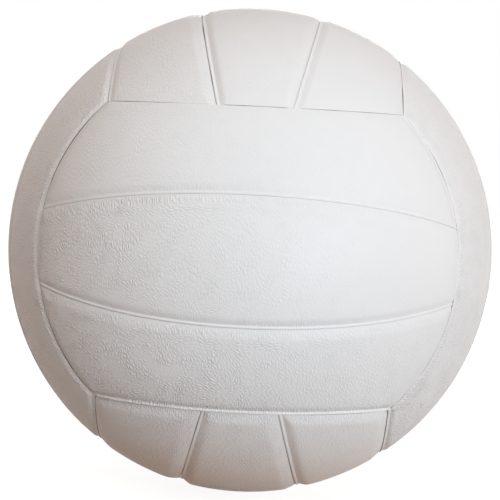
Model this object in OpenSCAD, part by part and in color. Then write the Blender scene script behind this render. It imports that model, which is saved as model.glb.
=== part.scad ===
// Indoor volleyball with an eighteen panel leather cover.
// The origin is the centre of the ball, +Z is up and -Y is the side that faces the viewer.
// Six faces of three strips each wrap the ball. The strips of neighbouring faces run at right angles.

/* [Ball] */
// Radius over the leather when inflated; the girth is 660 mm
ball_r = 105; // [100:0.5:112]

/* [Panel pattern] */
// Angle from the middle of a face to its long seams, measured about the strip's own axis
strip_half_angle = 14.2; // [10:0.1:20]
// Open crack between two panels
seam_gap = 0.4; // [0.2:0.1:0.8]

/* [Leather] */
// Thickness of the leather away from its edges
leather_t = 1.4; // [1.2:0.1:2]
// Width of the rim that is turned down around the backing and glued to the casing
rim_w = 2.4; // [1.8:0.1:3.2]
// Distance from the crack to the shoulder where an edge starts to roll down
roll_w = 5; // [4:0.1:6]
// Angle at which the roll leaves the ball's surface at that shoulder
shoulder_angle = 8; // [5:0.5:9]
// Depth at the crack of the grooves around a face
edge_drop = 1.5; // [1.1:0.05:1.8]
// Depth at the crack of the grooves between the strips of a face
seam_drop = 0.9; // [0.8:0.05:1.3]
// Width of the raised lip along a lapped edge
lip_w = 0.9; // [0.7:0.1:1.4]
// Height of that lip over the bottom of its groove
lip_h = 0.45; // [0.3:0.05:0.6]
// How much deeper a lip across a strip's end sits than one along its side
lip_step = 0.08; // [0.04:0.01:0.1]

/* [Backing] */
// Thickness of the foam and cloth backing glued under each panel
backing_t = 1.2; // [0.8:0.1:2]

/* [Carcass] */
// Thickness of the rubber casing that the panels are glued to
casing_t = 0.4; // [0.3:0.1:1]
// Thickness of the yarn winding under the casing
winding_t = 0.4; // [0.3:0.1:1]
// Thickness of the butyl bladder
bladder_t = 0.5; // [0.4:0.1:1]
// Film of glue, or loose fit, between one layer and the next
glue_line = 0.1; // [0.05:0.05:0.2]

/* [Valve] */
// Radius of the valve's round head in the leather
valve_head_r = 4.6; // [4:0.1:6]
// Depth of the head's face below the ball's surface
valve_recess = 0.5; // [0.3:0.1:1]
// Radius of the stem that passes through the layers
valve_stem_r = 3.6; // [3.4:0.1:3.9]
// Radius of the flange bonded inside the bladder
valve_flange_r = 15; // [12:0.5:20]
// Thickness of that flange
valve_flange_t = 1.2; // [0.8:0.1:2]
// Thickness of the closed end of the stem, below the plug
valve_end_t = 0.8; // [0.6:0.1:1.5]
// Radius of the stem at its inner end
valve_tail_r = 3.2; // [3:0.1:3.4]
// Radial gap around the head and the stem
valve_fit = 0.15; // [0.1:0.05:0.3]
// Width of the bevel around the leather's valve hole
valve_bevel = 0.5; // [0.2:0.1:0.8]

/* [Valve plug] */
// Radius of the self-sealing plug
plug_r = 2; // [1.8:0.1:2.3]
// Radius of the plug's head
plug_head_r = 2.9; // [2.6:0.1:3.1]
// Thickness of the plug's head
plug_head_t = 1; // [0.8:0.1:1.2]
// Length of the plug below its head
plug_len = 11.5; // [11:0.5:13]
// Gap around the plug in its housing
plug_fit = 0.05; // [0.05:0.05:0.1]
// Radius of the hole that takes the inflating needle
needle_r = 0.9; // [0.7:0.05:1]
// Depth of the needle hole below its funnel
needle_depth = 9; // [6:0.5:10]
// Radius of the funnel at its mouth
funnel_r = 1.6; // [1.3:0.1:2]
// Depth of the funnel
funnel_t = 0.7; // [0.5:0.1:0.8]

/* [Balance patch] */
// Radius of the rubber patch that balances the valve
patch_r = 17; // [12:0.5:22]
// Thickness of the patch
patch_t = 1.4; // [0.8:0.1:2]

/* [Hidden] */
// Polar angle of a face's edge: the corners of an inscribed cube lie on it
edge_polar = acos(1 / sqrt(3));
// Angle about the ball's centre from the crack to the shoulder of a rolled edge
roll_angle = roll_w / ball_r * 180 / PI;
// Overrun of cuts
over = 2;
$fn = 128;

leather_in = ball_r - leather_t;
backing_out = leather_in - glue_line;
backing_in = backing_out - backing_t;
casing_out = backing_in - glue_line;
casing_in = casing_out - casing_t;
winding_out = casing_in - glue_line;
winding_in = winding_out - winding_t;
bladder_out = winding_in - glue_line;
bladder_in = bladder_out - bladder_t;
// Where the rims of the panels and the valve's head seat on the casing
seat_r = casing_out + glue_line;

// Heights along the valve's axis, from the centre of the ball
valve_top = ball_r - valve_recess;
valve_seat = seat_r;
flange_out = bladder_in - glue_line;
flange_in = flange_out - valve_flange_t;
plug_seat = valve_top - plug_head_t;
plug_end = plug_seat - plug_len;
valve_end = plug_end - valve_end_t;

// One row for each face: its name, the turn that brings its middle from +Z to its place with its
// strips from +X, the names of its strips across +Y, the side on which each strip laps its
// neighbour, and whether its first end, its last end, its low side and its high side are lapped.
FACES = [
  ["front",  [90, 0, 0],    ["lower", "middle", "upper"], -1, [false, true, true, false]],
  ["back",   [90, 0, 180],  ["lower", "middle", "upper"], -1, [true, true, true, false]],
  ["top",    [0, 0, 90],    ["right", "middle", "left"],   1, [true, true, false, true]],
  ["bottom", [180, 0, 90],  ["left", "middle", "right"],  -1, [false, false, false, false]],
  ["left",   [0, -90, 0],   ["front", "middle", "back"],  -1, [true, false, false, false]],
  ["right",  [0, -90, 180], ["back", "middle", "front"],  -1, [true, true, false, false]]
];

function strip_name(face, row) = str(face[0], "_", face[2][row + 1]);

STRIPS = [for (face = FACES, row = [-1, 0, 1]) [face, row]];

// Radius of the arc that falls by drop over a width
function arc_r(width, drop) = (width * width + drop * drop) / (2 * drop);

// A hollow sphere with its poles on the X axis, clear of the face that looks along +Z
module layer(outer, inner) {
  rotate([0, 90, 0])
    difference() {
      sphere(r = outer);
      sphere(r = inner);
    }
}

// The cone about +Z through a face's edge, with its wall moved outwards by side
module edge_cone(side) {
  reach = ball_r + over;
  translate([0, 0, -side / sin(edge_polar)])
    rotate([0, 0, 90])
      cylinder(h = reach, r1 = 0, r2 = reach * tan(edge_polar));
}

// Everything on the +Y side of the plane through +X that leans from the middle of the face by lean
module beyond_seam(lean, side) {
  rotate([-lean, 0, 0])
    translate([-ball_r - over, side, -ball_r - over])
      cube([2 * (ball_r + over), ball_r + over, 2 * (ball_r + over)]);
}

// What an edge loses above its roll: x runs from the crack into the panel and y out of the ball.
// The roll is one arc, from the depth of the drop at x = 0 to the shoulder.
module above_roll(drop) {
  shoulder = ball_r * [sin(roll_angle), cos(roll_angle) - 1];
  rise = shoulder.y + drop;
  lean = shoulder_angle - roll_angle;
  r = (shoulder.x * shoulder.x + rise * rise) / (2 * (rise * cos(lean) - shoulder.x * sin(lean)));
  centre = shoulder + r * [sin(lean), -cos(lean)];
  difference() {
    translate([-over, -leather_t - over])
      square([over + centre.x, leather_t + 2 * over]);
    translate(centre)
      circle(r = r);
  }
}

// A lapped edge keeps a rounded lip along the crack, with its groove behind it
module edge_profile(lapped, drop) {
  lip_r = arc_r(lip_w / 2, lip_w / 4);
  if (lapped)
    difference() {
      translate([lip_w, 0])
        above_roll(drop);
      translate([lip_w / 2, lip_h - drop - lip_r])
        circle(r = lip_r);
    }
  else
    above_roll(drop);
}

// Half a ring that dresses an edge, on the +X side of the circle at a polar angle about +Z.
// The panel lies on the pole's side of that circle where inward is true.
module half_ring(polar, inward, lapped, drop) {
  rotate([0, 0, -90])
    rotate_extrude(angle = 180)
      translate([ball_r * sin(polar), ball_r * cos(polar)])
        rotate(-polar)
          mirror([inward ? 1 : 0, 0])
            edge_profile(lapped, drop);
}

// One strip of a face cut out of a layer, all its edges drawn in by inset. Row 0 is the middle
// strip, and rows -1 and 1 are those on the low and the high side.
module strip_of(outer, inner, row, inset) {
  difference() {
    intersection() {
      layer(outer, inner);
      edge_cone(-inset);
    }
    if (row == 0) {
      beyond_seam(strip_half_angle, -inset);
      mirror([0, 1, 0])
        beyond_seam(strip_half_angle, -inset);
    } else {
      mirror([0, row > 0 ? 0 : 1, 0]) {
        mirror([0, 1, 0])
          beyond_seam(-strip_half_angle, -inset);
        rotate([-90, 0, 0])
          edge_cone(inset);
      }
    }
  }
}

// Rolls or laps one end of the strip below: side is 1 for the end at +X, and -1 for the other
module dress_end(side, lapped) {
  difference() {
    children();
    rotate([0, 0, side > 0 ? 0 : 180])
      half_ring(edge_polar, true, lapped, edge_drop + (lapped ? lip_step : 0));
  }
}

// Rolls or laps one long edge of the strip below: side is 1 for the edge at +Y, and -1 for the other
module dress_side(row, side, lapped) {
  outer_edge = row * side > 0;
  lean = outer_edge ? 0 : row == 0 ? strip_half_angle : -strip_half_angle;
  difference() {
    children();
    mirror([0, side > 0 ? 0 : 1, 0])
      rotate([-lean, 0, 0])
        rotate([outer_edge ? -90 : 90, 0, 0])
          rotate([0, 0, outer_edge ? -90 : 90])
            if (outer_edge) half_ring(edge_polar, false, lapped, edge_drop);
            else half_ring(90, true, lapped, seam_drop);
  }
}

// True for the strip that holds the valve
function holds_valve(face, row) = face[0] == "back" && row == 0;

// The hole for the valve's head, about +Z
module valve_hole(bevel) {
  hole_r = valve_head_r + valve_fit;
  cylinder(h = ball_r + over, r = hole_r);
  if (bevel > 0)
    translate([0, 0, ball_r - bevel])
      cylinder(h = bevel + over, r1 = hole_r, r2 = hole_r + bevel + over);
}

// A tray of leather, open towards the casing, whose rim stands on it all around the backing
module leather_panel(face, row) {
  lap_side = face[3];
  laps = face[4];
  color("whitesmoke")
  rotate(face[1])
    difference() {
      dress_side(row, 1, row > 0 ? laps[3] : lap_side > 0)
        dress_side(row, -1, row < 0 ? laps[2] : lap_side < 0)
          dress_end(1, laps[1])
            dress_end(-1, laps[0])
              strip_of(ball_r, seat_r, row, seam_gap / 2);
      strip_of(leather_in, seat_r - over, row, seam_gap / 2 + rim_w);
      if (holds_valve(face, row)) valve_hole(valve_bevel);
    }
}

module backing(face, row) {
  color("wheat")
  rotate(face[1])
    difference() {
      strip_of(backing_out, backing_in, row, seam_gap / 2 + rim_w + glue_line);
      if (holds_valve(face, row)) valve_hole(0);
    }
}

// Brings what is built about +Z to the valve's place at the middle of the back
module at_valve() {
  rotate([-90, 0, 0])
    children();
}

// A whole layer under the panels, with a hole for the valve's stem
module carcass_layer(outer, inner) {
  difference() {
    layer(outer, inner);
    at_valve()
      cylinder(h = ball_r, r = valve_stem_r + valve_fit);
  }
}

module rubber_casing() {
  color("dimgray")
    carcass_layer(casing_out, casing_in);
}

module yarn_winding() {
  color("ivory")
    carcass_layer(winding_out, winding_in);
}

module bladder() {
  color("black")
    carcass_layer(bladder_out, bladder_in);
}

// A round patch about +Z that follows the inside of the bladder
module inner_patch(outer, thickness, radius) {
  intersection() {
    layer(outer, outer - thickness);
    cylinder(h = ball_r, r = radius);
  }
}

module valve_housing() {
  color("gainsboro")
  at_valve()
    difference() {
      union() {
        inner_patch(flange_out, valve_flange_t, valve_flange_r);
        translate([0, 0, valve_seat])
          cylinder(h = valve_top - valve_seat, r = valve_head_r);
        translate([0, 0, flange_in])
          cylinder(h = valve_seat - flange_in, r = valve_stem_r);
        translate([0, 0, valve_end])
          cylinder(h = flange_in - valve_end, r1 = valve_tail_r, r2 = valve_stem_r);
      }
      translate([0, 0, plug_seat])
        cylinder(h = plug_head_t + over, r = plug_head_r + plug_fit);
      translate([0, 0, plug_end])
        cylinder(h = plug_len + over, r = plug_r + plug_fit);
    }
}

module valve_plug() {
  funnel_end = valve_top - funnel_t;
  color("gray")
  at_valve()
    difference() {
      union() {
        translate([0, 0, plug_seat])
          cylinder(h = plug_head_t, r = plug_head_r);
        translate([0, 0, plug_end])
          cylinder(h = plug_len, r = plug_r);
      }
      translate([0, 0, funnel_end])
        cylinder(h = funnel_t, r1 = needle_r, r2 = funnel_r);
      translate([0, 0, funnel_end - needle_depth])
        cylinder(h = needle_depth, r = needle_r);
    }
}

module balance_patch() {
  color("dimgray")
  mirror([0, 1, 0])
    at_valve()
      inner_patch(flange_out, patch_t, patch_r);
}

for (s = STRIPS) {
  leather_panel(s[0], s[1]);
  backing(s[0], s[1]);
}
rubber_casing();
yarn_winding();
bladder();
valve_housing();
valve_plug();
balance_patch();
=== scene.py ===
import math

import bmesh
import bpy
from mathutils import Euler, Matrix, Vector, noise


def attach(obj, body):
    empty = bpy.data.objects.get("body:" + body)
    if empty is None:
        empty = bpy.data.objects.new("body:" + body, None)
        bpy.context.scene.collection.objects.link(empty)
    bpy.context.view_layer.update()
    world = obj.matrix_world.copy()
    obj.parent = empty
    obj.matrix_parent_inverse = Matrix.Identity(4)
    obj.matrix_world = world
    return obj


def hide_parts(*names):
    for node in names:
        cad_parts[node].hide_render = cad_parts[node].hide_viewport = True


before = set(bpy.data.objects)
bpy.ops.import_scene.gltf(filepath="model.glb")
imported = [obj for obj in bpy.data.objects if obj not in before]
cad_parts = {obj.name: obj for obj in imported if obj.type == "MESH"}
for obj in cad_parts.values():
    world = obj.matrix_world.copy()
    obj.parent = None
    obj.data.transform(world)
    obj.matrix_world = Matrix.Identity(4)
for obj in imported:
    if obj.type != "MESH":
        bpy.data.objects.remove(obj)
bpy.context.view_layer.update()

# The camera stands 0.89 m in front of the ball and a little above it, and is turned a little about
# its line of sight. The long lens fills the square frame with the ball.
MM = 0.001
ball_r = 105 * MM
camera_distance = 892.4 * MM
camera_lens = 146.96
camera_sensor_w = 36
camera_yaw = math.radians(-0.546)
camera_pitch = math.radians(2.447)
camera_roll = math.radians(2.773)


def facing_ball(turn, distance):
    """A place at a distance from the ball's centre, turned about it from straight in front, from
    which a camera or a lamp faces the ball."""
    facing = (turn @ Matrix.Rotation(math.radians(90), 3, "X")).to_4x4()
    return Matrix.Translation(turn @ Vector((0, -distance, 0))) @ facing


sight = (
    Matrix.Rotation(-camera_yaw, 3, "Z")
    @ Matrix.Rotation(-camera_pitch, 3, "X")
    @ Matrix.Rotation(-camera_roll, 3, "Y")
)
camera = bpy.data.objects.new("camera", bpy.data.cameras.new("camera"))
camera.data.lens = camera_lens
camera.data.sensor_width = camera_sensor_w
camera.matrix_world = facing_ball(sight, camera_distance)
bpy.context.scene.collection.objects.link(camera)
bpy.context.scene.camera = camera
bpy.context.scene.view_settings.view_transform = "Standard"

# The floor is a wide pale sheet that the ball stands on. Seen from the camera it is white and keeps
# a faint shadow. To the ball it is a dim surface, warm right below it and to the left behind it.
floor_half = 6.0
floor_colour = (0.41, 0.38, 0.36, 1)
under_colour = (0.50, 0.23, 0.05, 1)
under_reach = (0.108, 0.16)
left_floor_colour = (0.27, 0.11, 0.0, 1)
left_floor_way = (-0.66, 0.75, 0)
left_floor_reach = (0.0, 0.16)
shadow_reach = (0.25, 1.6)
near_glow = 0.91
far_glow = 1.05
shadow_share = 0.25
white_colour = (1, 1, 1, 1)


def add_node(tree, kind, inputs=None, **settings):
    """Adds a node, with its own settings and a value or a link for each named input."""
    node = tree.nodes.new(kind)
    for name, value in settings.items():
        setattr(node, name, value)
    for name, value in (inputs or {}).items():
        if isinstance(value, bpy.types.NodeSocket):
            tree.links.new(value, node.inputs[name])
        else:
            node.inputs[name].default_value = value
    return node


def new_tree(owner):
    """Turns on an owner's nodes and clears them."""
    owner.use_nodes = True
    owner.node_tree.nodes.clear()
    return owner.node_tree


def worked_out(tree, operation, *values):
    """The result of one step of arithmetic on one or two values."""
    return add_node(tree, "ShaderNodeMath", dict(enumerate(values)), operation=operation).outputs[0]


def ramped(tree, value, low, high, start=0.0, end=1.0, steps="LINEAR"):
    """Start where a value is at or below low, end where it is at or above high, and in between an
    even change from the one to the other."""
    span = {"Value": value, "From Min": low, "From Max": high, "To Min": start, "To Max": end}
    return add_node(tree, "ShaderNodeMapRange", span, interpolation_type=steps).outputs[0]


def eased(tree, value, low, high, start=0.0, end=1.0):
    """As ramped, with a smooth step in between."""
    return ramped(tree, value, low, high, start, end, "SMOOTHSTEP")


def tinted(tree, share, first, second):
    """A colour that goes from first to second by a share."""
    return add_node(
        tree, "ShaderNodeMix", {0: share, 6: first, 7: second}, data_type="RGBA"
    ).outputs[2]


def seen_directly(tree):
    """1 for what the camera sees straight, in a gloss or through glass, and 0 for other light."""
    path = add_node(tree, "ShaderNodeLightPath")
    seen = worked_out(tree, "MAXIMUM", path.outputs["Is Camera Ray"], path.outputs["Is Glossy Ray"])
    return worked_out(tree, "MAXIMUM", seen, path.outputs["Is Transmission Ray"])


floor_material = bpy.data.materials.new("pale floor")
tree = new_tree(floor_material)
spot = add_node(tree, "ShaderNodeTexCoord").outputs["Object"]
away = add_node(tree, "ShaderNodeVectorMath", {0: spot}, operation="LENGTH").outputs["Value"]
leftward = add_node(
    tree, "ShaderNodeVectorMath", {0: spot, 1: left_floor_way}, operation="DOT_PRODUCT"
).outputs["Value"]
around = tinted(tree, eased(tree, leftward, *left_floor_reach), floor_colour, left_floor_colour)
warm = tinted(tree, eased(tree, away, *under_reach), under_colour, around)
dim = add_node(tree, "ShaderNodeBsdfDiffuse", {"Color": warm})
strength = eased(tree, away, *shadow_reach, near_glow, far_glow)
glow = add_node(tree, "ShaderNodeEmission", {"Color": white_colour, "Strength": strength})
pale = add_node(tree, "ShaderNodeBsdfDiffuse", {"Color": (shadow_share,) * 3 + (1,)})
white = add_node(tree, "ShaderNodeAddShader", {0: glow.outputs[0], 1: pale.outputs[0]})
both = add_node(
    tree, "ShaderNodeMixShader", {0: seen_directly(tree), 1: dim.outputs[0], 2: white.outputs[0]}
)
add_node(tree, "ShaderNodeOutputMaterial", {"Surface": both.outputs[0]})

bm = bmesh.new()
bmesh.ops.create_grid(bm, x_segments=1, y_segments=1, size=floor_half)
bmesh.ops.translate(bm, verts=bm.verts, vec=(0, 0, -ball_r))
floor_mesh = bpy.data.meshes.new("floor")
bm.to_mesh(floor_mesh)
bm.free()
floor_mesh.materials.append(floor_material)
floor = bpy.data.objects.new("floor", floor_mesh)
bpy.context.scene.collection.objects.link(floor)

# The room and the lamps. A dim room surrounds the ball, warmer on its left, and large soft lamps
# light it from the front right, the upper left, the right side and above, and one from behind.
left_colour = (0.208, 0.066, 0.006, 1)
right_colour = (0.22, 0.165, 0.13, 1)

# The room has these colours where it lies further to the side than this, out of 1
far_side = 0.7

world = bpy.data.worlds.new("room")
bpy.context.scene.world = world
tree = new_tree(world)
way = add_node(tree, "ShaderNodeTexCoord").outputs["Generated"]
to_right = add_node(tree, "ShaderNodeSeparateXYZ", {0: way}).outputs["X"]
sides = tinted(tree, eased(tree, to_right, -far_side, far_side), left_colour, right_colour)
room = add_node(tree, "ShaderNodeBackground", {"Color": sides})
backdrop = add_node(tree, "ShaderNodeBackground", {"Color": white_colour})
both = add_node(
    tree, "ShaderNodeMixShader", {0: seen_directly(tree), 1: room.outputs[0], 2: backdrop.outputs[0]}
)
add_node(tree, "ShaderNodeOutputWorld", {"Surface": both.outputs[0]})

# One row for each lamp: its name, its azimuth and elevation in degrees from straight in front, its
# distance and width in metres, its colour, and its power in watts
lamps = [
    ("key", 30, 3, 1.5, 0.5, (0.815, 0.91, 1.0), 15.6),
    ("fill", -35, 40, 1.5, 1.0, (0.82, 0.955, 1.0), 7.1),
    ("side", 95, 4, 1.5, 0.7, (1.0, 0.90, 0.84), 4.8),
    ("top", 0, 88, 1.5, 1.0, (0.95, 0.97, 1.0), 5.0),
    ("back", 180, 8, 1.5, 0.5, (0.88, 0.95, 1.0), 10.0),
]
for name, azimuth, elevation, distance, width, colour, power in lamps:
    data = bpy.data.lights.new(name, "AREA")
    data.shape = "DISK"
    data.size = width
    data.color = colour
    data.energy = power
    aside = Matrix.Rotation(math.radians(azimuth), 3, "Z")
    raised = Matrix.Rotation(math.radians(-elevation), 3, "X")
    lamp = bpy.data.objects.new(name, data)
    lamp.matrix_world = facing_ball(aside @ raised, distance)
    bpy.context.scene.collection.objects.link(lamp)

# The bladder is a sphere of black butyl rubber, blow moulded and dusted with talc so that it floats
# free inside the winding and doesn't stick to itself when it is flat.
butyl_colour = (0.014, 0.014, 0.016, 1)
talc_colour = (0.46, 0.45, 0.43, 1)
clouds_per_metre = 45.0
dusty_clouds = (0.38, 0.68)
dusty_specks = 0.6
clean_roughness = 0.42
dusty_roughness = 0.85


def group_tree(name, inputs, outputs):
    """A new node group with named sockets, and its input and output nodes."""
    group = bpy.data.node_groups.new(name, "ShaderNodeTree")
    for label, kind in inputs:
        group.interface.new_socket(label, in_out="INPUT", socket_type=f"NodeSocket{kind}")
    for label, kind in outputs:
        group.interface.new_socket(label, in_out="OUTPUT", socket_type=f"NodeSocket{kind}")
    return group, group.nodes.new("NodeGroupInput"), group.nodes.new("NodeGroupOutput")


def surfaced(tree, colour, roughness, height, relief, **sockets):
    """Ends a material's tree in a shader with a colour, a roughness and a relief in metres."""
    bump = add_node(tree, "ShaderNodeBump", {"Height": height, "Distance": relief})
    skin = {"Base Color": colour, "Roughness": roughness, "Normal": bump.outputs[0], **sockets}
    shader = add_node(tree, "ShaderNodeBsdfPrincipled", skin)
    add_node(tree, "ShaderNodeOutputMaterial", {"Surface": shader.outputs[0]})


rubber_skin, given, made = group_tree(
    "rubber skin",
    (("Rubber", "Color"), ("Dust", "Color"), ("Dust share", "Float"), ("Grains per metre", "Float")),
    (("Colour", "Color"), ("Roughness", "Float"), ("Height", "Float")),
)
spot = add_node(rubber_skin, "ShaderNodeTexCoord").outputs["Object"]
clouds = add_node(
    rubber_skin, "ShaderNodeTexNoise", {"Vector": spot, "Scale": clouds_per_metre, "Detail": 5.0}
).outputs[0]
specks = add_node(
    rubber_skin,
    "ShaderNodeTexNoise",
    {"Vector": spot, "Scale": given.outputs["Grains per metre"], "Detail": 2.0},
).outputs[0]
speckled = worked_out(rubber_skin, "MULTIPLY", eased(rubber_skin, clouds, *dusty_clouds), specks)
dust = worked_out(rubber_skin, "MULTIPLY", speckled, given.outputs["Dust share"])
colour = tinted(rubber_skin, dust, given.outputs["Rubber"], given.outputs["Dust"])
matt = ramped(rubber_skin, speckled, 0.0, dusty_specks, clean_roughness, dusty_roughness)
rubber_skin.links.new(colour, made.inputs["Colour"])
rubber_skin.links.new(matt, made.inputs["Roughness"])
rubber_skin.links.new(specks, made.inputs["Height"])


def rubber(name, colour, dust, dust_share, grains, relief):
    """A moulded rubber with dust in its grain, and a relief in metres."""
    material = bpy.data.materials.new(name)
    tree = new_tree(material)
    skin = add_node(
        tree,
        "ShaderNodeGroup",
        {"Rubber": colour, "Dust": dust, "Dust share": dust_share, "Grains per metre": grains},
        node_tree=rubber_skin,
    ).outputs
    surfaced(tree, skin["Colour"], skin["Roughness"], skin["Height"], relief)
    return material


butyl = rubber(
    "black butyl rubber", butyl_colour, talc_colour, dust_share=0.55, grains=1600.0, relief=0.04 * MM
)
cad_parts["bladder"].material_slots[0].material = butyl

# The valve is a moulded housing of soft pale rubber, whose flange is bonded inside the bladder. Its
# plug is a firmer grey rubber, pressed in from outside, and closes by itself behind the needle.
housing_colour = (0.62, 0.61, 0.58, 1)
plug_colour = (0.21, 0.21, 0.205, 1)
grime_colour = (0.11, 0.10, 0.09, 1)

housing = rubber(
    "pale valve rubber", housing_colour, grime_colour, dust_share=0.35, grains=2600.0, relief=0.05 * MM
)
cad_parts["valve_housing"].material_slots[0].material = housing
plug = rubber(
    "grey plug rubber", plug_colour, talc_colour, dust_share=0.25, grains=3200.0, relief=0.04 * MM
)
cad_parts["valve_plug"].material_slots[0].material = plug

# The balance patch is a disc of black sheet rubber, buffed and cemented inside the bladder across
# from the valve, so that the ball flies true.
patch_colour = (0.03, 0.03, 0.031, 1)
buffing_colour = (0.16, 0.155, 0.15, 1)

patch = rubber(
    "buffed sheet rubber", patch_colour, buffing_colour, dust_share=0.8, grains=4200.0, relief=0.12 * MM
)
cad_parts["balance_patch"].material_slots[0].material = patch

# The winding is fine nylon yarn, laid around the bladder along great circles in every direction and
# set in latex, so that the ball keeps its size and stays round.
yarn_pitch = 0.8 * MM
yarn_relief = 0.25 * MM
yarn_colour = (0.72, 0.68, 0.58, 1)
latex_colour = (0.42, 0.37, 0.27, 1)
latex_roughness = 0.35
yarn_roughness = 0.65
latex_height = 0.6
yarn_turns = ((0, 0, 0), (63, 20, 10), (-58, 35, 75), (15, 80, 40))

# Each way of winding lies over the ones before it in bundles, and has more of them than the last
bundles_per_metre = 38.0
more_bundles = 9.0
bundle_edge = (0.48, 0.53)


def mixed(tree, share, first, second):
    """A value that goes from first to second by a share."""
    return add_node(tree, "ShaderNodeMix", {0: share, 2: first, 3: second}, data_type="FLOAT").outputs[0]


wound_yarn, given, made = group_tree(
    "wound yarn", (("Waves per metre", "Float"),), (("Height", "Float"), ("Shade", "Float"))
)
spot = add_node(wound_yarn, "ShaderNodeTexCoord").outputs["Object"]
for i, turn in enumerate(yarn_turns):
    turned = add_node(
        wound_yarn,
        "ShaderNodeMapping",
        {"Vector": spot, "Rotation": [math.radians(angle) for angle in turn]},
    ).outputs[0]
    strands = add_node(
        wound_yarn,
        "ShaderNodeTexWave",
        {
            "Vector": turned,
            "Scale": given.outputs["Waves per metre"],
            "Distortion": 1.2,
            "Detail": 1.0,
            "Detail Scale": 0.08,
        },
    ).outputs["Fac"]
    if i == 0:
        height = strands
        continue
    bundles = add_node(
        wound_yarn,
        "ShaderNodeTexNoise",
        {"Vector": turned, "Scale": bundles_per_metre + more_bundles * i, "Detail": 0.0},
    ).outputs[0]
    height = mixed(wound_yarn, ramped(wound_yarn, bundles, *bundle_edge), height, strands)
shade = ramped(wound_yarn, height, 0.0, latex_height)
wound_yarn.links.new(height, made.inputs["Height"])
wound_yarn.links.new(shade, made.inputs["Shade"])

# One period of the wave texture is a twentieth of a full turn at a scale of one
waves_per_metre = math.tau / 20 / yarn_pitch
winding = bpy.data.materials.new("nylon yarn set in latex")
tree = new_tree(winding)
yarn = add_node(
    tree, "ShaderNodeGroup", {"Waves per metre": waves_per_metre}, node_tree=wound_yarn
).outputs
colour = tinted(tree, yarn["Shade"], latex_colour, yarn_colour)
matt = ramped(tree, yarn["Shade"], 0.0, 1.0, latex_roughness, yarn_roughness)
surfaced(tree, colour, matt, yarn["Height"], yarn_relief)
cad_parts["yarn_winding"].material_slots[0].material = winding

# The casing is a thin coat of dark natural rubber, cured over the winding in a round mould. The
# yarn under it still shows through as a faint print, and its outside is buffed for the glue.
casing_colour = (0.075, 0.07, 0.064, 1)
print_relief = 0.06 * MM

casing = rubber(
    "cured casing rubber", casing_colour, buffing_colour, dust_share=0.7, grains=2000.0, relief=0.1 * MM
)
tree = casing.node_tree
yarn = add_node(
    tree, "ShaderNodeGroup", {"Waves per metre": waves_per_metre}, node_tree=wound_yarn
).outputs
shader = next(node for node in tree.nodes if node.bl_idname == "ShaderNodeBsdfPrincipled")
grain = shader.inputs["Normal"].links[0].from_socket
print_bump = add_node(
    tree, "ShaderNodeBump", {"Height": yarn["Height"], "Distance": print_relief, "Normal": grain}
)
tree.links.new(print_bump.outputs[0], shader.inputs["Normal"])
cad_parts["rubber_casing"].material_slots[0].material = casing

# Under each leather panel lies a backing of thin cream foam faced with plain woven cotton, which
# makes the ball soft to the hands. It is cut a little smaller than its panel and glued inside it.
weave_pitch = 0.7 * MM
weave_relief = 0.15 * MM
cotton_colour = (0.74, 0.66, 0.50, 1)
gap_colour = (0.34, 0.28, 0.19, 1)
gap_height = 0.35
gap_roughness = 0.95
cotton_roughness = 0.8


def threads(tree, value):
    """A sine over a value in metres, with one thread to each half wave."""
    return worked_out(tree, "SINE", worked_out(tree, "MULTIPLY", value, math.pi / weave_pitch))


# The threads run along the two axes that lie nearest to the surface
cotton = bpy.data.materials.new("cotton faced foam")
tree = new_tree(cotton)
spot = add_node(tree, "ShaderNodeTexCoord").outputs["Object"]
axes = add_node(tree, "ShaderNodeSeparateXYZ", {0: spot}).outputs
size = add_node(tree, "ShaderNodeVectorMath", {0: spot}, operation="ABSOLUTE").outputs[0]
size = add_node(tree, "ShaderNodeSeparateXYZ", {0: size}).outputs
faces_side = worked_out(tree, "GREATER_THAN", size["X"], size["Y"])
flat_way = mixed(tree, faces_side, axes["X"], axes["Y"])
widest = mixed(tree, faces_side, size["Y"], size["X"])
faces_up = worked_out(tree, "GREATER_THAN", size["Z"], widest)
warp = threads(tree, mixed(tree, faces_up, flat_way, axes["X"]))
weft = threads(tree, mixed(tree, faces_up, axes["Z"], axes["Y"]))
weave = worked_out(tree, "ABSOLUTE", worked_out(tree, "MULTIPLY", warp, weft))
colour = tinted(tree, ramped(tree, weave, 0.0, gap_height), gap_colour, cotton_colour)
matt = ramped(tree, weave, 0.0, 1.0, gap_roughness, cotton_roughness)
surfaced(tree, colour, matt, weave, weave_relief)
for name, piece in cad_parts.items():
    if name.startswith("backing_"):
        piece.material_slots[0].material = cotton

# The cover is eighteen panels of white top grain leather, three strips to a face. Each is die cut,
# skived along its edges, glued over its backing, and turned down to the casing around it, so that
# every seam is a groove. Along some seams one panel laps its neighbour as a thin raised lip.
strip_half_angle = math.radians(14.2)
leather_t = 1.4 * MM
seat_depth = 2.7 * MM
rim_w = 2.1 * MM
skived_t = 0.25 * MM
lip_w = 1.1 * MM
corner_cos = 1 / math.sqrt(3)
edge_polar = math.acos(corner_cos)
corner_lean = math.asin(corner_cos)

# The hole for the valve's head has a bevelled rim, and the leather sinks a little around it
valve_hole_r = 4.75 * MM
valve_bevel = 0.5 * MM
valve_dish_depth = 0.15 * MM
valve_dish_reach = 3 * MM

# Grid lines lie close together near the seams and around the valve's hole: distances in mm
edge_lines = [0, 0.1, 0.25, 0.4, 0.55, 0.7, 0.85, 1.0, 1.3, 1.7, 2.0, 2.2, 2.7, 3.3, 4.0, 4.8, 5.7, 6.8]
hole_lines = [0.08, 0.2, 0.35, 0.5, 0.8, 1.3, 2.0, 3.0, 4.2, 5.6, 7.2]
hole_steps = 6
inner_step = 1.6 * MM

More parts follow.
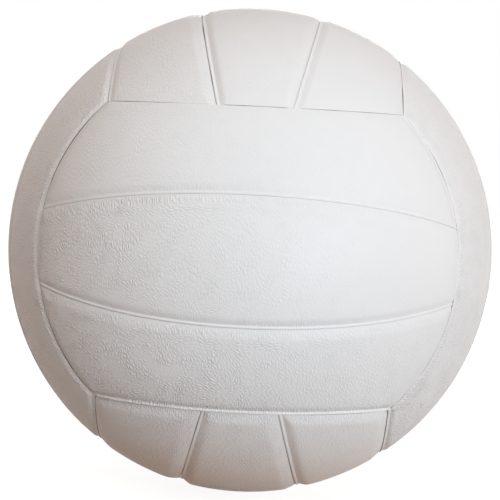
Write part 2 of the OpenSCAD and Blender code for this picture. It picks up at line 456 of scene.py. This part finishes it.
# One row for each face: its name, the turn that brings its middle from +Z to its place with its
# strips from +X, the names of its strips across +Y, the side on which each strip laps its
# neighbour, and the width in mm of the roll along its edges
faces = [
    ("front", (90, 0, 0), ("lower", "middle", "upper"), -1, 3.6),
    ("back", (90, 0, 180), ("lower", "middle", "upper"), -1, 3.6),
    ("top", (0, 0, 90), ("right", "middle", "left"), 1, 3.6),
    ("bottom", (180, 0, 90), ("left", "middle", "right"), -1, 4.4),
    ("left", (0, -90, 0), ("front", "middle", "back"), -1, 2.3),
    ("right", (0, -90, 180), ("back", "middle", "front"), -1, 2.6),
]

# Where the leather isn't lapped, the roll is wider and has another curve. The greater corner_power
# is, the less the rolls of two edges add up at a corner
free_roll = 1.3
free_roll_power = 1.35
corner_power = 4

# Each face has six edges: its low and high seams, which lie between its strips, its first and last
# ends, and its low and high sides. The widths in mm of the cracks along them
crack_widths = {
    "front": (0.06, 0.02, 0.10, 0.20, 0.18, 0.18),
    "back": (0.18, 0.20, 0.12, 0.16, 0.16, 0.16),
    "top": (0.02, 0.32, 0.20, 0.18, 0.26, 0.28),
    "bottom": (0.20, 0.14, 0.18, 0.16, 0.14, 0.14),
    "left": (0.16, 0.16, 0.16, 0.28, 0.20, 0.16),
    "right": (0.14, 0.18, 0.16, 0.24, 0.14, 0.28),
}

# The cracks vary around this share of their widths, and the surface waves a little. The waves of a
# noise are counted over one radius of the ball
crack_share = 0.4
crack_waves = 7
surface_waver = 0.04 * MM
surface_waves = 9

# The heights in mm of the lips along the edges, 0 where the leather butts or is lapped
lip_heights = {
    "front": (0.42, 0.25, 0, 0.14, 0.80, 0),
    "back": (0.35, 0.35, 0.3, 0.3, 0.35, 0),
    "top": (0.40, 0.48, 0, 0.3, 0, 0.3),
    "bottom": (0.30, 0.50, 0, 0, 0, 0),
    "left": (0.30, 0.30, 0.3, 0, 0, 0),
    "right": (0.25, 0.30, 0.3, 0.3, 0, 0),
}

# The depths in mm that the leather rolls down to along them
groove_depths = {
    "front": (0.90, 0.60, 0.85, 0.60, 0.95, 0.35),
    "back": (0.80, 0.80, 0.90, 0.90, 0.90, 0.70),
    "top": (1.10, 1.25, 0.30, 0.90, 0.80, 0.90),
    "bottom": (1.60, 1.60, 1.60, 1.20, 1.00, 1.00),
    "left": (1.00, 1.00, 1.00, 1.00, 0.95, 1.00),
    "right": (0.90, 0.90, 0.90, 0.90, 0.90, 0.70),
}

# How far in mm the strips bow out over them in the middle, or in where it is negative
bows = {
    "front": (1.0, 0, 2.0, 0.9, 1.6, 0),
    "back": (0, 0, 0, 0, 0, 0),
    "top": (0, 0, 0, 0, 0, 0),
    "bottom": (0, -0.4, -1.6, 0, 0, 0),
    "left": (0, 0, 0, 0, -2.0, 0),
    "right": (0, 0, 0, 0, 0, -0.9),
}

# How much deeper the leather's creases are right beside them, or shallower where it is negative
wrinkled_shares = {
    "front": (-0.2, 0.9, 0.3, 0.6, 1.0, 0.7),
    "back": (0.4, 0.8, 0.2, 0.6, 0.5, 0.2),
    "top": (0.2, 0.3, 0.2, 0.4, 0.2, 0.2),
    "bottom": (0.3, 0.2, 0.4, 0.4, 0.3, 0.3),
    "left": (0.4, 0.4, 0.3, 0.5, 0.9, 0.4),
    "right": (0.3, 0.4, 0.3, 0.5, 0.3, 1.0),
}

# How deep the creases are on each face's strips, from its low side to its high side, at the first
# and the last end of each
crease_shares = {
    "front": ((2.7, 1.0), (2.3, 0.2), (0.85, 0.3)),
    "back": ((1.4, 1.8), (1.2, 1.5), (1.6, 1.2)),
    "top": ((0.05, 0.6), (0.4, 1.0), (1.0, 1.2)),
    "bottom": ((1.5, 1.2), (1.4, 1.2), (0.9, 1.4)),
    "left": ((1.6, 1.4), (1.4, 1.3), (1.2, 1.5)),
    "right": ((1.4, 1.1), (1.5, 1.1), (2.3, 1.0)),
}

# They go from the first end's depth to the last end's, come and go in patches, change their run near
# an edge, and are drawn out of the leather over a lip, apart from lip_creasing
crease_change_power = 1.5
patch_share = 0.9
patch_waves = 22
wrinkled_w = 5 * MM
edge_reach = 7 * MM
taut_w = 2.2 * lip_w
lip_creasing = 0.05


def strip_angles(row, along, across):
    """The turn along a strip and the lean across it at shares from -1 to 1 of its length and width,
    and the greatest turn and half the lean that it has there."""
    if row == 0:
        lean = across * strip_half_angle
        reach = math.acos(corner_cos / math.cos(lean))
        return along * reach, lean, reach, strip_half_angle
    share = (across + 1) / 2
    outer = math.asin(corner_cos / math.cos(along * corner_lean))
    end_lean = strip_half_angle + share * (math.pi / 4 - strip_half_angle)
    reach = math.acos(corner_cos / math.cos(end_lean))
    lean = strip_half_angle + share * (outer - strip_half_angle)
    return along * reach, lean, reach, (outer - strip_half_angle) / 2


def unit_vector(row, spin, lean):
    """Where a turn along a strip and a lean across it lead, with the face's middle on +Z."""
    y = math.cos(spin) * math.sin(lean)
    return Vector((math.sin(spin), -y if row < 0 else y, math.cos(spin) * math.cos(lean)))


def side_edge(row, side):
    """Which of a face's edges lies along a strip on its low side, -1, or its high side, 1."""
    if row * side > 0:
        return 5 if row > 0 else 4
    return 1 if row + side > 0 or row > 0 else 0


def bowed(face, row, edge, place):
    """How far a strip reaches past one of its face's edges beside a unit vector."""
    bow = bows[face[0]][edge] * MM
    if edge < 2:
        return bow if row == 0 else -bow
    across = place[1] if edge < 4 else place[0]
    return bow * max(0, 1 - (across / corner_cos) ** 2)


def trimmed(face, row, turned, along, across):
    """The shares of a strip's length and width with the cracks cut off and the bows let out."""
    spin, lean, reach, width = strip_angles(row, along, across)
    place = unit_vector(row, spin, lean)
    uneven = crack_share + (1 - crack_share) * noise.noise(turned @ place * crack_waves)
    end = 3 if along > 0 else 2
    side = side_edge(row, (1 if across > 0 else -1) * (-1 if row < 0 else 1))
    cuts = [
        crack_widths[face[0]][edge] * MM * uneven - bowed(face, row, edge, place) for edge in (end, side)
    ]
    along *= 1 - cuts[0] / (reach * ball_r)
    across *= 1 - cuts[1] / (width * ball_r * math.cos(spin))
    return along, across


def strip_seams(face, row, place):
    """For each seam around a strip, its end's first: the distance to it from a unit vector, the
    height of the lip there, the depth that the leather rolls down to, and how much deeper its
    creases are."""
    name, lap_side = face[0], face[3]
    x, y, z = place
    seams = [(edge_polar - math.acos(min(1, z)), 3 if x > 0 else 2, True)]
    for side in (1, -1):
        if row * side > 0:
            away = math.acos(side * y) - edge_polar
            seams.append((away, side_edge(row, side), True))
        else:
            lean = strip_half_angle if row == 0 else -strip_half_angle
            away = -math.asin(side * y * math.cos(lean) - z * math.sin(lean))
            seams.append((away, side_edge(row, side), side == lap_side))
    return [
        (
            max(0, angle * ball_r + bowed(face, row, edge, place)),
            lip_heights[name][edge] * MM if may_lap else 0,
            groove_depths[name][edge] * MM,
            wrinkled_shares[name][edge],
        )
        for angle, edge, may_lap in seams
    ]


def edge_depth(distance, lip_h, groove, roll_w):
    """How far below the ball's surface the leather lies at a distance from its edge."""
    if lip_h == 0:
        return groove * (1 - min(1, distance / (roll_w * free_roll))) ** free_roll_power
    out = min(1, max(0, (distance - lip_w) / roll_w))
    lip = groove - lip_h + lip_h / 2 * (distance / (lip_w / 2) - 1) ** 2
    return min(groove * (1 - out) ** 2 * (1 + out), max(0, lip))


def hole_depth(rim):
    """How much lower the leather lies at a distance from the rim of the valve's hole."""
    bevel = valve_bevel * max(0, 1 - rim / valve_bevel) ** 2
    return bevel + valve_dish_depth * math.exp(-max(0, rim) / valve_dish_reach)


def crease_depth(face, row, along, spot, seams):
    """How deep the leather's creases are at a place, as a share of their usual depth."""
    wrinkled = sum(seam[3] * math.exp(-seam[0] / wrinkled_w) for seam in seams)
    patch = max(0, patch_share * (1 + noise.noise(spot * patch_waves)) + wrinkled)
    taut = min(1, lip_creasing + min(seam[0] for seam in seams) / taut_w)
    first, last = crease_shares[face[0]][row + 1]
    return (last + (first - last) * max(0, (1 - along) / 2) ** crease_change_power) * patch * taut


def line_shares(half_length, holed):
    """Shares from -1 to 1 at which a strip's grid lines lie."""
    edge = [half_length - line * MM for line in edge_lines]
    hole = []
    if holed:
        hole = [valve_hole_r * (i + 1) / hole_steps for i in range(hole_steps)]
        hole += [valve_hole_r + line * MM for line in hole_lines]
    start = hole[-1] if holed else 0
    count = math.ceil((edge[-1] - start) / inner_step)
    inner = [start + (edge[-1] - start) * i / count for i in range(1, count)]
    half = [line / half_length for line in hole + inner + edge[::-1]]
    return [-share for share in reversed(half)] + [0] + half


def around_hole(x, y):
    """Turns the square rings of the grid around the valve's hole into round ones."""
    square = max(abs(x), abs(y))
    if square == 0:
        return x, y
    away = min(1, max(0, (square - valve_hole_r) / (hole_lines[-1] * MM)))
    weight = 1 - away * away * (3 - 2 * away)
    pull = weight * square / math.hypot(x, y) + 1 - weight
    return x * pull, y * pull


def give_thickness(bm, seat):
    """Gives a panel its flesh side, whose rim reaches down to the casing where seat is set."""
    grain_side = set(bm.faces)
    wall = bmesh.ops.extrude_face_region(bm, geom=bm.faces[:], use_keep_orig=True)
    for item in wall["geom"]:
        if isinstance(item, bmesh.types.BMVert):
            inner = min(ball_r - leather_t, item.co.length - skived_t)
            item.co = item.co.normalized() * (ball_r - seat_depth if item[seat] else inner)
    bmesh.ops.recalc_face_normals(bm, faces=bm.faces[:])
    for part in bm.faces:
        part.smooth = True
        # The rim walls in the cracks take the dark raw leather too, which paints shade into the cracks
        part.material_index = 0 if part in grain_side else 1


def leather_panel(face, row, shift):
    """One panel: a grid bent onto the ball, dressed along its edges, and given its thickness. Its
    UV map is the panel laid flat, in metres, moved by shift so that no two have the same grain."""
    name, turn, rows = face[:3]
    roll_w = face[4] * MM
    turned = Euler([math.radians(angle) for angle in turn]).to_matrix()
    holed = name == "back" and row == 0
    half_length = edge_polar * ball_r
    half_width = (strip_half_angle if row == 0 else (corner_lean - strip_half_angle) / 2) * ball_r
    columns = line_shares(half_length, holed)
    lines = line_shares(half_width, holed)
    bm = bmesh.new()
    bmesh.ops.create_grid(bm, x_segments=len(columns) - 1, y_segments=len(lines) - 1, size=1)
    uv = bm.loops.layers.uv.new("leather")
    near_side = bm.verts.layers.float.new("near_side")
    near_end = bm.verts.layers.float.new("near_end")
    creasing = bm.verts.layers.float.new("creasing")
    on_rim = {}
    inside_hole = []
    for vert in bm.verts:
        column = round((vert.co.x + 1) / 2 * (len(columns) - 1))
        line = round((vert.co.y + 1) / 2 * (len(lines) - 1))
        along, across = columns[column], lines[line]
        edge = min((1 - abs(along)) * half_length, (1 - abs(across)) * half_width)
        on_rim[vert.index] = edge < rim_w
        if holed:
            x, y = along * half_length, across * half_width
            if max(abs(column - len(columns) // 2), abs(line - len(lines) // 2)) < hole_steps:
                inside_hole.append(vert)
            x, y = around_hole(x, y)
            along, across = x / half_length, y / half_width
        along, across = trimmed(face, row, turned, along, across)
        spin, lean = strip_angles(row, along, across)[:2]
        place = unit_vector(row, spin, lean)
        spot = turned @ place
        seams = strip_seams(face, row, place)
        rolls = [edge_depth(*seam[:3], roll_w) for seam in seams]
        depth = sum(roll**corner_power for roll in rolls) ** (1 / corner_power)
        if holed:
            depth += hole_depth(math.hypot(x, y) - valve_hole_r)
        depth += surface_waver * (1 + noise.noise(spot * surface_waves))
        vert[near_end] = math.exp(-seams[0][0] / edge_reach)
        vert[near_side] = math.exp(-min(seams[1][0], seams[2][0]) / edge_reach)
        vert[creasing] = crease_depth(face, row, along, spot, seams)
        flat_x = ball_r * spin
        flat_y = ball_r * lean * math.cos(spin) * (-1 if row < 0 else 1)
        for loop in vert.link_loops:
            loop[uv].uv = (flat_x + shift, flat_y + shift)
        vert.co = spot * (ball_r - depth)
    bmesh.ops.delete(bm, geom=inside_hole, context="VERTS")

    # A known fault: the deletion numbers the holed panel's points anew, so its flags are out of step.
    # Its flesh side, which is out of sight, reaches down in some wrong places
    seat = bm.verts.layers.int.new("seat")
    for vert in bm.verts:
        vert[seat] = on_rim[vert.index]
    give_thickness(bm, seat)
    mesh = bpy.data.meshes.new(f"leather_{name}_{rows[row + 1]}")
    bm.to_mesh(mesh)
    bm.free()
    panel = bpy.data.objects.new(mesh.name, mesh)
    bpy.context.scene.collection.objects.link(panel)
    return panel


# The grain side is creased into small plates. A painted shade darkens the bottom of the creases,
# and fades out at the share of their relief set below
leather_colour = (0.80, 0.795, 0.785, 1)
leather_roughness = 0.5
leather_gloss = 0.3
crease_shade_colour = (0.30, 0.28, 0.26, 1)
crease_relief = 0.095 * MM
crease_shade_share = 0.045
shaded_height = 0.5

# A plate rises from its edge over valley_reach of its size. The plates' run drifts by drift_reach,
# and turns from patch to patch where a noise lies between two values
valley_reach = 0.4
drift_reach = 9 * MM
drifts_per_metre = 24.0
patches_per_metre = 70.0
first_turn = (0.44, 0.56)
second_turn = (0.5, 0.6)


def creases(tree, place, angle, length, width):
    """The height of small plates with creases between them, of a length in metres that runs at an
    angle to the strip's length, and of a width across it."""
    turned = add_node(
        tree,
        "ShaderNodeVectorRotate",
        {"Vector": place, "Angle": math.radians(angle)},
        rotation_type="Z_AXIS",
    ).outputs[0]
    drawn = add_node(
        tree, "ShaderNodeMapping", {"Vector": turned, "Scale": (1 / length, 1 / width, 1)}
    ).outputs[0]
    plates = add_node(
        tree,
        "ShaderNodeTexVoronoi",
        {"Vector": drawn, "Scale": 1.0},
        feature="DISTANCE_TO_EDGE",
        voronoi_dimensions="2D",
    ).outputs["Distance"]
    return eased(tree, plates, 0.0, valley_reach)


leather = bpy.data.materials.new("white top grain leather")
tree = new_tree(leather)
flat = add_node(tree, "ShaderNodeUVMap", uv_map="leather").outputs["UV"]
drift = add_node(
    tree,
    "ShaderNodeTexNoise",
    {"Vector": flat, "Scale": drifts_per_metre, "Detail": 1.5},
    noise_dimensions="2D",
).outputs["Color"]
drift = add_node(
    tree, "ShaderNodeVectorMath", {0: drift, 1: (0.5, 0.5, 0.5)}, operation="SUBTRACT"
).outputs[0]
drift = add_node(
    tree, "ShaderNodeVectorMath", {0: drift, "Scale": drift_reach}, operation="SCALE"
).outputs[0]
bent = add_node(tree, "ShaderNodeVectorMath", {0: flat, 1: drift}, operation="ADD").outputs[0]
patches = add_node(
    tree,
    "ShaderNodeTexNoise",
    {"Vector": flat, "Scale": patches_per_metre, "Detail": 1.0},
    noise_dimensions="2D",
).outputs["Color"]
patches = add_node(tree, "ShaderNodeSeparateColor", {0: patches}).outputs
lengthwise = creases(tree, bent, 0, 2.5 * MM, 1.0 * MM)
height = mixed(
    tree,
    eased(tree, patches[0], *first_turn),
    creases(tree, bent, 35, 2.5 * MM, 1.1 * MM),
    creases(tree, bent, 115, 2.3 * MM, 1.05 * MM),
)
height = mixed(
    tree,
    eased(tree, patches[1], *second_turn),
    height,
    creases(tree, bent, 75, 2.4 * MM, 1.15 * MM),
)

# Close to a rolled edge the creases run square to it, and further in there are some along it
beside_side = (0.15, 0.4)
beside_patches = (0.42, 0.52)
close_to_side = (0.4, 0.7)
close_to_end = (0.5, 0.75)
side_share = add_node(tree, "ShaderNodeAttribute", attribute_name="near_side").outputs["Fac"]
end_share = add_node(tree, "ShaderNodeAttribute", attribute_name="near_end").outputs["Fac"]
beside = worked_out(
    tree,
    "MULTIPLY",
    eased(tree, side_share, *beside_side),
    eased(tree, patches[2], *beside_patches),
)
crosswise = creases(tree, bent, 90, 3.2 * MM, 1.0 * MM)
height = mixed(tree, beside, height, lengthwise)
height = mixed(tree, eased(tree, side_share, *close_to_side), height, crosswise)
height = mixed(tree, eased(tree, end_share, *close_to_end), height, lengthwise)

# The creases' depth scales both the relief and the painted shade at their bottom
depth_share = add_node(tree, "ShaderNodeAttribute", attribute_name="creasing").outputs["Fac"]
painted_crease_shade = ramped(tree, height, 0.0, shaded_height, crease_shade_share, 0.0)
colour = tinted(
    tree, worked_out(tree, "MULTIPLY", painted_crease_shade, depth_share), leather_colour, crease_shade_colour
)
relief = worked_out(tree, "MULTIPLY", height, depth_share)
surfaced(
    tree, colour, leather_roughness, relief, crease_relief, **{"Specular IOR Level": leather_gloss}
)

# The flesh side and the cut edge are raw split leather, fibrous and dulled by the glue. Both of its
# colours are kept dark as painted shade, so that the narrow cracks where its cut edge shows read dark
shaded_fibre_colour = (0.36, 0.31, 0.25, 1)
shaded_glue_colour = (0.20, 0.16, 0.12, 1)
fibre_relief = 0.2 * MM
fibre_roughness = (0.8, 0.95)
glue_edge = (0.4, 0.6)

flesh = bpy.data.materials.new("raw leather darkened as crack shade")
tree = new_tree(flesh)
spot = add_node(tree, "ShaderNodeTexCoord").outputs["Object"]
fibres = add_node(
    tree, "ShaderNodeTexNoise", {"Vector": spot, "Scale": 1500.0, "Detail": 3.0, "Distortion": 1.5}
).outputs[0]
glued = add_node(
    tree, "ShaderNodeTexNoise", {"Vector": spot, "Scale": 90.0, "Detail": 3.0}
).outputs[0]
colour = tinted(tree, eased(tree, glued, *glue_edge), shaded_fibre_colour, shaded_glue_colour)
matt = ramped(tree, fibres, 0.0, 1.0, *fibre_roughness)
surfaced(tree, colour, matt, fibres, fibre_relief)

# Every panel takes its grain from another part of the hide, this many metres further on
grain_step = 0.31
strips = [(face, row) for face in faces for row in (-1, 0, 1)]
for index, (face, row) in enumerate(strips):
    panel = leather_panel(face, row, grain_step * index)
    panel.data.materials.append(leather)
    panel.data.materials.append(flesh)
    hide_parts(f"panel_{face[0]}_{face[2][row + 1]}")
    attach(panel, "root")
